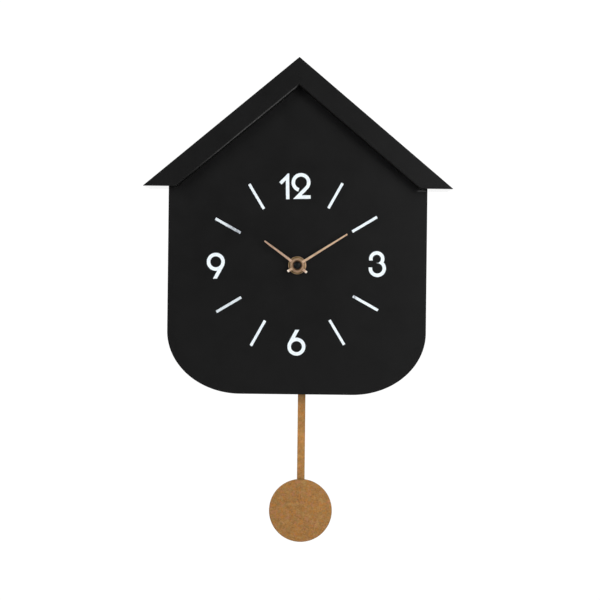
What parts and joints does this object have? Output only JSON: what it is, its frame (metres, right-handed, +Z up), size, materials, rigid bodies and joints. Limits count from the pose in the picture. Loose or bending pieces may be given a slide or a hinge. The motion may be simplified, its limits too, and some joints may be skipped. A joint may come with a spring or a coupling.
{
  "type": "pendulum wall clock",
  "caption": "House-shaped battery wall clock with a pitched roof, raised dial marks, hands on a geared movement and a swinging pendulum below the case.",
  "frame": {"origin": "the hanging point, where the nail carries the keyhole plate, in the plane of the wall", "axes": "+Z up, +Y into the wall, +X to the right as seen from the front"},
  "size_m": [0.2792, 0.06, 0.4409],
  "materials": {
    "case_paint": "black satin paint on fibreboard",
    "dial_white": "white satin",
    "hand_metal": "rose gold anodised, satin",
    "bob_gold": "mottled metallic gold paint",
    "brass": "dull brass",
    "steel": "bright zinc plated",
    "black_plastic": "black moulded",
    "gear_plastic": "natural white acetal",
    "rubber": "matt black",
    "copper": "enamelled copper winding",
    "circuit_board": "green solder mask",
    "battery_jacket": "plain dark blue jacket, no lettering",
    "magnet": "grey ferrite"
  },
  "bodies": {
    "case": {"face_panel": "case_paint", "side_wall_left": "case_paint", "side_wall_right": "case_paint", "bottom_wall": "case_paint", "roof_board_left": "case_paint", "roof_board_right": "case_paint", "hanging_block": "case_paint", "numeral_12_tens": "dial_white", "numeral_12_units": "dial_white", "numeral_03": "dial_white", "numeral_06": "dial_white", "numeral_09": "dial_white", "hour_bar_01": "dial_white", "hour_bar_02": "dial_white", "hour_bar_04": "dial_white", "hour_bar_05": "dial_white", "hour_bar_07": "dial_white", "hour_bar_08": "dial_white", "hour_bar_10": "dial_white", "hour_bar_11": "dial_white", "dial_washer": "brass", "hex_nut": "brass", "threaded_bushing": "brass", "hanger_plate": "steel", "hanger_screw_upper": "steel", "hanger_screw_lower": "steel", "battery_contact_positive": "steel", "battery_spring_negative": "steel", "quartz_crystal": "steel", "pendulum_pivot_pin": "steel", "movement_case_front": "black_plastic", "movement_case_rear": "black_plastic", "motor_cover": "gear_plastic", "rubber_gasket": "rubber", "motor_coil": "copper", "pendulum_coil": "copper", "circuit_board": "circuit_board", "battery": "battery_jacket"},
    "minute_arbor": {"centre_wheel": "gear_plastic", "minute_hand": "hand_metal", "hand_cap": "black_plastic"},
    "hour_arbor": {"hour_wheel": "gear_plastic", "hour_hand": "hand_metal"},
    "motion_arbor": {"motion_wheel": "gear_plastic", "setting_knob": "black_plastic"},
    "third_arbor": {"third_wheel": "gear_plastic"},
    "seconds_arbor": {"seconds_wheel": "gear_plastic"},
    "pendulum": {"pendulum_lever": "gear_plastic", "pendulum_magnet": "magnet", "pendulum_rod": "bob_gold", "pendulum_bob": "bob_gold"}
  },
  "joints": [
    {"name": "minute_hand_spin", "type": "hinge", "parent": "case", "child": "minute_arbor", "pos_m": [0, -0.05, -0.14], "axis": [0, 1, 0], "continuous": true},
    {"name": "hour_hand_spin", "type": "hinge", "parent": "case", "child": "hour_arbor", "pos_m": [0, -0.05, -0.14], "axis": [0, 1, 0], "continuous": true},
    {"name": "setting_knob_spin", "type": "hinge", "parent": "case", "child": "motion_arbor", "pos_m": [0.00778, -0.03, -0.13222], "axis": [0, 1, 0], "continuous": true},
    {"name": "third_wheel_spin", "type": "hinge", "parent": "case", "child": "third_arbor", "pos_m": [-0.0105, -0.03, -0.14], "axis": [0, 1, 0], "continuous": true},
    {"name": "seconds_wheel_spin", "type": "hinge", "parent": "case", "child": "seconds_arbor", "pos_m": [0, -0.03, -0.14], "axis": [0, 1, 0], "continuous": true},
    {"name": "pendulum_swing", "type": "hinge", "parent": "case", "child": "pendulum", "pos_m": [0.0054, -0.03, -0.191], "axis": [0, 1, 0], "range_deg": [-10, 10]}
  ],
  "couplings": [
    {"joint": "hour_hand_spin", "follows": "minute_hand_spin", "ratio": 0.083333},
    {"joint": "setting_knob_spin", "follows": "minute_hand_spin", "ratio": -0.33333},
    {"joint": "third_wheel_spin", "follows": "minute_hand_spin", "ratio": -7.5},
    {"joint": "seconds_wheel_spin", "follows": "minute_hand_spin", "ratio": 60}
  ]
}
